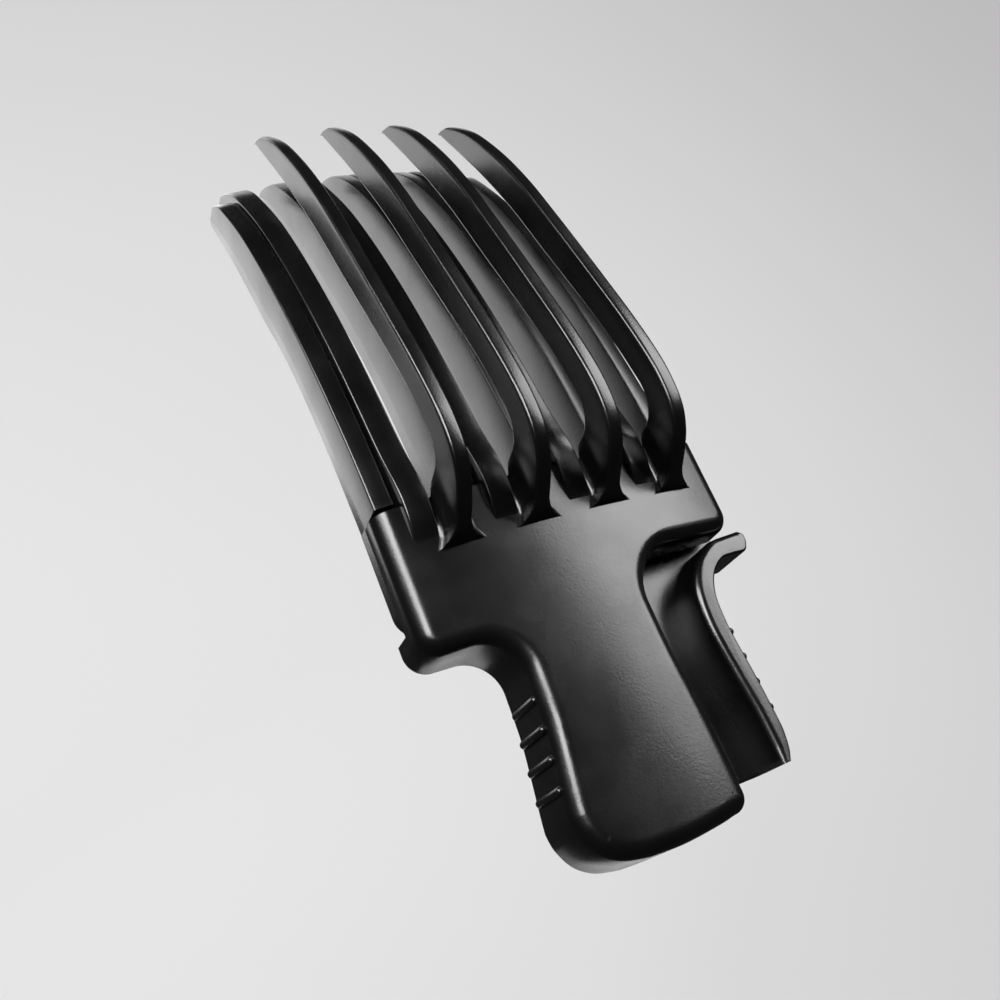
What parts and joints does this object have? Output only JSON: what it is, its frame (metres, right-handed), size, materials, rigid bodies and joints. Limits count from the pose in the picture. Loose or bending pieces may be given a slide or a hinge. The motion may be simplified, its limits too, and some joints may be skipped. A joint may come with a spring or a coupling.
{
  "type": "hair comb",
  "caption": "Hand-squeezed hair comb: a slider with bars and high arched fins closes on the curved teeth of a base half when two grips are pressed together.",
  "frame": {"origin": "bottom centre of the bounding box, under the tips of the teeth", "axes": "+Y from the handle to the tips, +Z out of the cover towards the fins, +X across the comb towards the finger grip; the cover's crown line is level"},
  "size_m": [0.0658, 0.1592, 0.0513],
  "materials": {
    "black_plastic": "near-black moulded plastic, satin with a fine even grain",
    "steel": "plain ground steel",
    "acetal": "natural off-white bearing plastic"
  },
  "bodies": {
    "base": {"base_tray": "black_plastic", "base_grip": "black_plastic", "base_tooth_1": "black_plastic", "base_tooth_2": "black_plastic", "base_tooth_3": "black_plastic", "base_tooth_4": "black_plastic", "base_tooth_5": "black_plastic", "boss_upper_left": "black_plastic", "boss_upper_right": "black_plastic", "boss_lower_left": "black_plastic", "boss_lower_right": "black_plastic", "guide_pin_upper": "steel", "guide_pin_lower": "steel", "pin_clip_upper": "steel", "pin_clip_lower": "steel", "spring_upper": "steel", "spring_lower": "steel"},
    "slider": {"slider_cover": "black_plastic", "slider_fin_1": "black_plastic", "slider_fin_2": "black_plastic", "slider_fin_3": "black_plastic", "slider_fin_4": "black_plastic", "slider_bar_1": "black_plastic", "slider_bar_2": "black_plastic", "slider_bar_3": "black_plastic", "slider_bar_4": "black_plastic", "lug_upper_1": "black_plastic", "lug_upper_2": "black_plastic", "lug_lower": "black_plastic", "bush_upper_1": "acetal", "bush_upper_2": "acetal", "bush_lower": "acetal"}
  },
  "joints": [
    {"name": "squeeze", "type": "slide", "parent": "base", "child": "slider", "axis": [1, 0, 0], "range_m": [0, 0.0053], "stiffness_N_per_m": 1200, "springref_m": -0.002, "deforming": ["spring_upper", "spring_lower"]}
  ]
}
